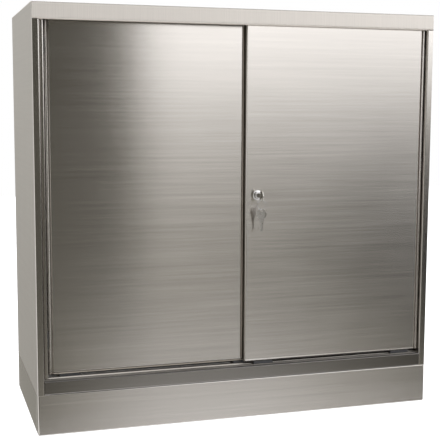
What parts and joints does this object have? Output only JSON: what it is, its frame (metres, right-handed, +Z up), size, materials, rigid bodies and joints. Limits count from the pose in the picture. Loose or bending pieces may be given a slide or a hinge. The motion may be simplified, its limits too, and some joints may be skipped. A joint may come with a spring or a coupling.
{
  "type": "tool cabinet",
  "caption": "low stainless steel tool cabinet on a plinth, with two plain doors that roll sideways in separate tracks, a push lock in the front door and shelves inside",
  "frame": {"origin": "centre of the base of the box that holds the cabinet and its keys, on the floor", "axes": "+Z up, +Y from the doors to the back, +X to the right seen from the front"},
  "size_m": [1, 0.474, 0.992],
  "materials": {
    "carcass_steel": "satin stainless steel, brushed",
    "door_steel": "stainless steel, brushed from side to side",
    "inner_steel": "plain mill finish stainless steel",
    "track_metal": "mill finish",
    "zinc": "zinc plated",
    "nylon": "moulded black nylon",
    "rubber": "moulded rubber",
    "lock_chrome": "polished plating",
    "key_nickel": "nickel plated, worn"
  },
  "bodies": {
    "carcass": {"plinth_front": "carcass_steel", "plinth_rear": "carcass_steel", "plinth_side_left": "carcass_steel", "plinth_side_right": "carcass_steel", "plinth_splices": "inner_steel", "plinth_bolts": "zinc", "side_panel_left": "carcass_steel", "side_panel_right": "carcass_steel", "top_panel": "carcass_steel", "bottom_panel": "carcass_steel", "floor_panel": "inner_steel", "back_panel": "inner_steel", "header_track": "track_metal", "bottom_track": "track_metal", "jamb_left": "carcass_steel", "jamb_right": "carcass_steel", "jamb_buffers_left": "rubber", "jamb_buffers_right": "rubber", "roller_stops": "rubber", "upright_front_left": "inner_steel", "upright_rear_left": "inner_steel", "upright_front_right": "inner_steel", "upright_rear_right": "inner_steel", "shelf_lower": "inner_steel", "shelf_upper": "inner_steel", "shelf_clips_lower": "zinc", "shelf_clips_upper": "zinc"},
    "front_door": {"front_door_pan": "door_steel", "front_door_inner_panel": "inner_steel", "front_door_stiffener": "inner_steel", "front_door_hanger_left": "zinc", "front_door_hanger_right": "zinc", "front_axle_left": "zinc", "front_axle_right": "zinc", "front_hanger_bolts": "zinc", "front_door_guides": "nylon", "lock_body": "lock_chrome", "lock_nut": "zinc"},
    "rear_door": {"rear_door_pan": "door_steel", "rear_door_inner_panel": "inner_steel", "rear_door_stiffener": "inner_steel", "rear_door_hanger_left": "zinc", "rear_door_hanger_right": "zinc", "rear_axle_left": "zinc", "rear_axle_right": "zinc", "rear_hanger_bolts": "zinc", "rear_door_guides": "nylon", "strike": "lock_chrome"},
    "front_roller_left": {"front_roller_left": "nylon"},
    "front_roller_right": {"front_roller_right": "nylon"},
    "rear_roller_left": {"rear_roller_left": "nylon"},
    "rear_roller_right": {"rear_roller_right": "nylon"},
    "push_button": {"lock_plunger": "lock_chrome"},
    "turned_key": {"lock_plug": "key_nickel", "key": "key_nickel"},
    "ring": {"key_ring": "key_nickel"},
    "spare": {"spare_key": "key_nickel"}
  },
  "joints": [
    {"name": "front_door_slide", "type": "slide", "parent": "carcass", "child": "front_door", "axis": [-1, 0, 0], "range_m": [0, 0.478]},
    {"name": "rear_door_slide", "type": "slide", "parent": "carcass", "child": "rear_door", "axis": [1, 0, 0], "range_m": [0, 0.41]},
    {"name": "front_roller_left_spin", "type": "hinge", "parent": "front_door", "child": "front_roller_left", "pos_m": [0.0575, -0.189, 0.972], "axis": [0, 1, 0], "continuous": true},
    {"name": "front_roller_right_spin", "type": "hinge", "parent": "front_door", "child": "front_roller_right", "pos_m": [0.4325, -0.189, 0.972], "axis": [0, 1, 0], "continuous": true},
    {"name": "rear_roller_left_spin", "type": "hinge", "parent": "rear_door", "child": "rear_roller_left", "pos_m": [-0.42, -0.17, 0.972], "axis": [0, 1, 0], "continuous": true},
    {"name": "rear_roller_right_spin", "type": "hinge", "parent": "rear_door", "child": "rear_roller_right", "pos_m": [0.01, -0.17, 0.972], "axis": [0, 1, 0], "continuous": true},
    {"name": "push_button_slide", "type": "slide", "parent": "front_door", "child": "push_button", "axis": [0, 1, 0], "range_m": [0, 0.0045]},
    {"name": "key_turn", "type": "hinge", "parent": "push_button", "child": "turned_key", "pos_m": [0.037, -0.208, 0.549], "axis": [0, 1, 0], "range_deg": [0, 90]},
    {"name": "ring_swing", "type": "hinge", "parent": "turned_key", "child": "ring", "pos_m": [0.037, -0.224, 0.541], "axis": [1, 0, 0], "range_deg": [-60, 4]},
    {"name": "spare_key_swing", "type": "hinge", "parent": "ring", "child": "spare", "pos_m": [0.037, -0.224, 0.5148], "axis": [0.6691, 0.7431, 0], "range_deg": [-35, 5]}
  ],
  "couplings": [
    {"joint": "front_roller_left_spin", "follows": "front_door_slide", "rad_per_m": -100},
    {"joint": "front_roller_right_spin", "follows": "front_door_slide", "rad_per_m": -100},
    {"joint": "rear_roller_left_spin", "follows": "rear_door_slide", "rad_per_m": 100},
    {"joint": "rear_roller_right_spin", "follows": "rear_door_slide", "rad_per_m": 100}
  ]
}
